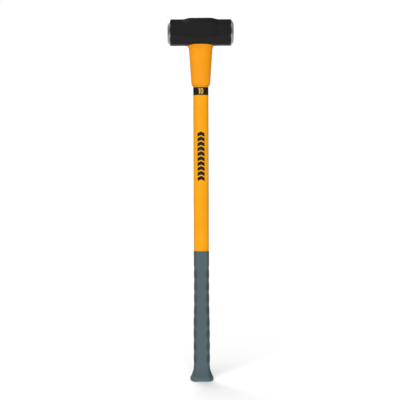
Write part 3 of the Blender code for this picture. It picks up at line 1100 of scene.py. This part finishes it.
class HAMMER_OT_mould_grip(bpy.types.Operator):
    """Mould the scalloped grip and its flared butt"""

    bl_idname = "hammer.mould_grip"
    bl_label = "Mould grip"

    def execute(self, context):
        sizes, colours = context.scene.hammer_sizes, context.scene.hammer_colours
        recipe = Recipe("scalloped_grip")
        around = recipe.input("Points Around", 144)
        along = recipe.input("Points Along", 620)
        height = recipe.input("Height", float(GRIP_HIGH.z))
        half_x = recipe.input("Half Width", 20.75 * MM)
        half_y = recipe.input("Half Depth", 16.8 * MM)
        top_x = recipe.input("Top Half Width", 19.45 * MM)
        top_y = recipe.input("Top Half Depth", 15.6 * MM)
        taper_low = recipe.input("Taper Bottom", 130.0 * MM)
        taper_high = recipe.input("Taper Top", 205.0 * MM)
        pitch = recipe.input("Notch Pitch", sizes.notch_pitch)
        first = recipe.input("First Notch", 41.4 * MM)
        count = recipe.input("Notches", sizes.notch_count)
        depth = recipe.input("Notch Depth", sizes.notch_depth)
        facet = recipe.input("Facet Reach", sizes.facet_reach)
        corner = recipe.input("Corner Reach", 2.6 * MM)
        rim_x = recipe.input("Rim Half Width", float(GRIP_HIGH.x))
        rim_y = recipe.input("Rim Half Depth", float(GRIP_HIGH.y))
        rim_corner = recipe.input("Rim Corner Reach", 8.0 * MM)
        rim_top = recipe.input("Rim Top", BUTT_RIM_TOP)
        flare_x = recipe.input("Flare Half Width", 26.8 * MM)
        flare_y = recipe.input("Flare Half Depth", 22.6 * MM)
        flare_low = recipe.input("Flare Bottom", 11.6 * MM)
        flare_high = recipe.input("Flare Top", 30.0 * MM)
        flare_curve = recipe.input("Flare Curve", 1.25)
        sharpness = recipe.input("Edge Sharpness", 16.0)
        material = recipe.input("Material", rubber_finish(colours))

        grid = recipe.add(
            "GeometryNodeMeshGrid",
            values={"Size X": 1.0, "Size Y": 1.0, "Vertices X": around, "Vertices Y": along},
        )
        x, y, _ = recipe.split(recipe.add("GeometryNodeInputPosition"))
        angle = (x + 0.5) * math.tau
        run = y + 0.5
        cap_share = 0.03  # of the rows, for each closed end
        z = height * ((run - cap_share) / (1 - 2 * cap_share)).clamp()
        closing = (run / cap_share).clamp() * ((1 - run) / cap_share).clamp()

        taper = z.rise(taper_low, taper_high)
        plain_x = half_x + (top_x - half_x) * taper
        plain_y = half_y + (top_y - half_y) * taper
        flare = ((flare_high - z) / (flare_high - flare_low)).clamp() ** flare_curve
        step_out = 1 - z.rise(rim_top, flare_low)
        flared_x = plain_x + (flare_x - plain_x) * flare
        flared_y = plain_y + (flare_y - plain_y) * flare
        body_x = flared_x + (rim_x - flared_x) * step_out
        body_y = flared_y + (rim_y - flared_y) * step_out

        phase = (z - first) / pitch
        nearest = phase.math("ROUND").math("MAXIMUM", 0.0).math("MINIMUM", count - 1)
        away = abs(phase - nearest).math("MINIMUM", 0.5)
        notch = (1 - away * 2) ** 2.0
        last = first + pitch * (count - 1)
        between = (z > first) * (z < last)
        beyond = (first - z).math("MAXIMUM", z - last)
        lens = between * (1 - notch) * facet
        least_reach, lead_in = 0.8 * MM, 8 * MM
        plain = (1 - between) * (beyond / lead_in).clamp() * corner
        reach = least_reach + lens + plain + flare * (rim_corner - corner)
        side = body_x - notch * depth

        lower_round, upper_round = 1.6 * MM, 0.7 * MM
        low_gap = (1 - z / lower_round).clamp()
        high_gap = (1 - (height - z) / upper_round).clamp()
        low_inset = (1 - (1 - low_gap * low_gap).math("SQRT")) * lower_round
        high_inset = (1 - (1 - high_gap * high_gap).math("SQRT")) * upper_round
        inset = low_inset + high_inset

        # A section is the space inside a side, a front and a steep corner facet. Its corners
        # are rounded by blending the three, then it is scaled back to full width and depth.
        facet_x, facet_y = math.cos(FACET_TURN), math.sin(FACET_TURN)
        facet_distance = (side - reach) * facet_x + body_y * facet_y
        cos, sin = abs(angle.math("COSINE")), abs(angle.math("SINE"))

        def edge_radius(toward_side, toward_front):
            toward_facet = toward_side * facet_x + toward_front * facet_y
            pulls = (
                (toward_side / side) ** sharpness
                + (toward_front / body_y) ** sharpness
                + (toward_facet / facet_distance) ** sharpness
            )
            return pulls ** (-1 / sharpness)

        one, zero = cos * 0 + 1, cos * 0
        radius = edge_radius(cos, sin)
        across = radius * angle.math("COSINE") * (side / edge_radius(one, zero))
        deep = radius * angle.math("SINE") * (body_y / edge_radius(zero, one))
        shrink = (1 - inset / side) * closing
        place = recipe.join(across * shrink, deep * shrink, z)
        placed = {"Geometry": grid, "Position": place}
        shaped = recipe.add("GeometryNodeSetPosition", values=placed)
        weld = {"Geometry": shaped, "Distance": 0.005 * MM}
        sealed = recipe.add("GeometryNodeMergeByDistance", values=weld)
        grip = new_object("rubber_grip", bmesh.new())
        recipe.run(grip, sealed, material)
        seat = grown(SHAFT_HALF, CONTACT + SEAM_RIDGE - GRIP_NECK)
        bottom, above = JACKET_LOW.z - CONTACT, GRIP_HIGH.z + 2 * MM
        cut_hole(grip, [oval(seat, SHAFT_POWER, z) for z in (bottom, above)])
        finish_piece(grip, None, ("grip_sleeve",), sharp_angle=50)
        return {"FINISHED"}


# ---------------------------------------------------------------- stage


def add_sun(name, azimuth, elevation, strength, spread):
    """A distant soft lamp. Azimuth turns from the front towards +X, all in degrees."""
    data = bpy.data.lights.new(name, "SUN")
    data.energy = strength
    data.angle = math.radians(spread)
    lamp = bpy.data.objects.new(name, data)
    turn, lift = math.radians(azimuth), math.radians(elevation)
    towards_lamp = Vector(
        (math.sin(turn) * math.cos(lift), -math.cos(turn) * math.cos(lift), math.sin(lift))
    )
    lamp.location = towards_lamp * 3
    lamp.rotation_euler = towards_lamp.to_track_quat("Z", "Y").to_euler()
    bpy.context.scene.collection.objects.link(lamp)


def light_world(scene):
    """A white room: bright to look at, dimmer as a light and dimmer still in reflections."""
    world = bpy.data.worlds.new("white_room")
    world.use_nodes = True
    scene.world = world
    net = Net(world.node_tree)
    paths = net.add("ShaderNodeLightPath").socket.node
    seen = Signal(net, paths.outputs["Is Camera Ray"])
    glossy = Signal(net, paths.outputs["Is Glossy Ray"])
    direction = net.add("ShaderNodeTexCoord", output="Generated")
    height = net.split(direction)[2]
    in_ring = height.rise(*RING_BOTTOM) * (1 - height.rise(*RING_TOP))
    ring = in_ring * RING_GLOSS + ROOM_GLOSS
    strength = seen * (1 - ROOM_LIGHT) + glossy * (ring - ROOM_LIGHT) + ROOM_LIGHT
    background = world.node_tree.nodes["Background"]
    background.inputs["Color"].default_value = (1, 1, 1, 1)
    net.feed(background.inputs["Strength"], strength)


def add_camera(scene):
    """Straight at the front, level with the middle of the handle, a long lens back."""
    distance, view_width = 2.3, 1.0138  # the width is what shows at the handle
    aim, roll_angle = (-0.0031, 0.4558), math.radians(0.22)
    data = bpy.data.cameras.new("camera")
    data.sensor_width = 36.0
    data.lens = data.sensor_width * distance / view_width
    data.clip_end = 200.0
    camera = bpy.data.objects.new("camera", data)
    place = Matrix.Translation((aim[0], -distance, aim[1]))
    roll = Matrix.Rotation(roll_angle, 4, "Y")
    camera.matrix_world = place @ roll @ Matrix.Rotation(math.pi / 2, 4, "X")
    scene.collection.objects.link(camera)
    scene.camera = camera


class HAMMER_OT_set_stage(bpy.types.Operator):
    """Lay the floor and set the lights and camera"""

    bl_idname = "hammer.set_stage"
    bl_label = "Set stage"

    def execute(self, context):
        scene = context.scene
        scene.view_settings.view_transform = "Standard"
        bm = bmesh.new()
        floor_half = 60.0
        bmesh.ops.create_grid(bm, x_segments=1, y_segments=1, size=floor_half)
        floor = new_object("floor", bm)
        floor.data.materials.append(floor_finish())
        add_sun("front_lamp", azimuth=-10, elevation=35, strength=2.85, spread=40)
        add_sun("back_lamp", azimuth=-165, elevation=35, strength=2.0, spread=40)
        light_world(scene)
        add_camera(scene)
        return {"FINISHED"}


# ---------------------------------------------------------------- panel and registration

OPERATORS = (
    HAMMER_OT_set_stage,
    HAMMER_OT_forge_head,
    HAMMER_OT_cast_eye,
    HAMMER_OT_mould_jacket,
    HAMMER_OT_mould_guard,
    HAMMER_OT_wrap_band,
    HAMMER_OT_print_chevrons,
    HAMMER_OT_mould_grip,
)


class HAMMER_PT_maker(bpy.types.Panel):
    """Lists the steps that make the hammer"""

    bl_idname = "HAMMER_PT_maker"
    bl_label = "Sledgehammer"
    bl_space_type = "VIEW_3D"
    bl_region_type = "UI"
    bl_category = "Hammer"

    def draw(self, context):
        column = self.layout.column()
        for group in (context.scene.hammer_sizes, context.scene.hammer_colours):
            for name in group.__annotations__:
                column.prop(group, name)
        for operator in OPERATORS:
            column.operator(operator.bl_idname)


CLASSES = (HammerSizes, HammerColours, *OPERATORS, HAMMER_PT_maker)


def register():
    for cls in CLASSES:
        bpy.utils.register_class(cls)
    bpy.types.Scene.hammer_sizes = PointerProperty(type=HammerSizes)
    bpy.types.Scene.hammer_colours = PointerProperty(type=HammerColours)


def unregister():
    del bpy.types.Scene.hammer_colours
    del bpy.types.Scene.hammer_sizes
    for cls in reversed(CLASSES):
        bpy.utils.unregister_class(cls)


def main():
    register()
    for operator in OPERATORS:
        group, name = operator.bl_idname.split(".")
        getattr(getattr(bpy.ops, group), name)()


if __name__ == "__main__":
    main()
